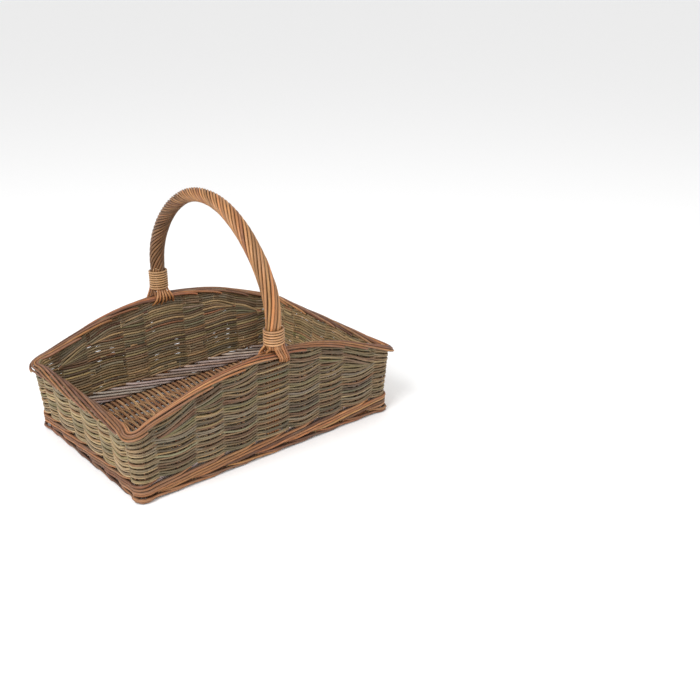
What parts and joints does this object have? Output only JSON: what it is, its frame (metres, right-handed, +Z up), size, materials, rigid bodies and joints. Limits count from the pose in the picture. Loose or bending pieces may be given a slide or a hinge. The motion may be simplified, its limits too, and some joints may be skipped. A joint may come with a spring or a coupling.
{
  "type": "trug garden basket",
  "caption": "Oblong woven willow trug basket with arched long sides and one roped bow handle across the middle, bound at both feet.",
  "frame": {"origin": "on the floor, under the middle of the basket", "axes": "+X along the length towards the right end, +Y across towards the back long side, +Z up"},
  "size_m": [0.5052, 0.3716, 0.3955],
  "materials": {
    "base_willow": "natural willow bark, satin",
    "brown_willow": "natural willow bark, satin",
    "grey_willow": "natural willow bark, satin",
    "green_willow": "natural willow bark, satin",
    "border_willow": "natural willow bark, satin",
    "handle_willow": "natural willow bark, satin",
    "binding_willow": "natural willow bark, satin"
  },
  "bodies": {
    "root": {"base_sticks": "base_willow", "base_weave": "base_willow", "foot_border": "brown_willow", "outer_wale": "brown_willow", "inner_wale": "grey_willow", "front_stakes": "brown_willow", "back_stakes": "brown_willow", "left_stakes": "brown_willow", "right_stakes": "brown_willow", "corner_stakes": "brown_willow", "front_siding": "green_willow", "back_siding": "green_willow", "left_siding": "green_willow", "right_siding": "green_willow", "front_left_siding": "green_willow", "front_right_siding": "green_willow", "back_right_siding": "green_willow", "back_left_siding": "green_willow", "front_border": "border_willow", "back_border": "border_willow", "left_border": "border_willow", "right_border": "border_willow", "handle_bow": "handle_willow", "handle_wrap": "handle_willow", "front_binding": "binding_willow", "back_binding": "binding_willow", "front_leg_rods": "handle_willow", "back_leg_rods": "handle_willow", "front_outer_fan": "handle_willow", "front_inner_fan": "handle_willow", "back_outer_fan": "handle_willow", "back_inner_fan": "handle_willow"}
  },
  "joints": []
}
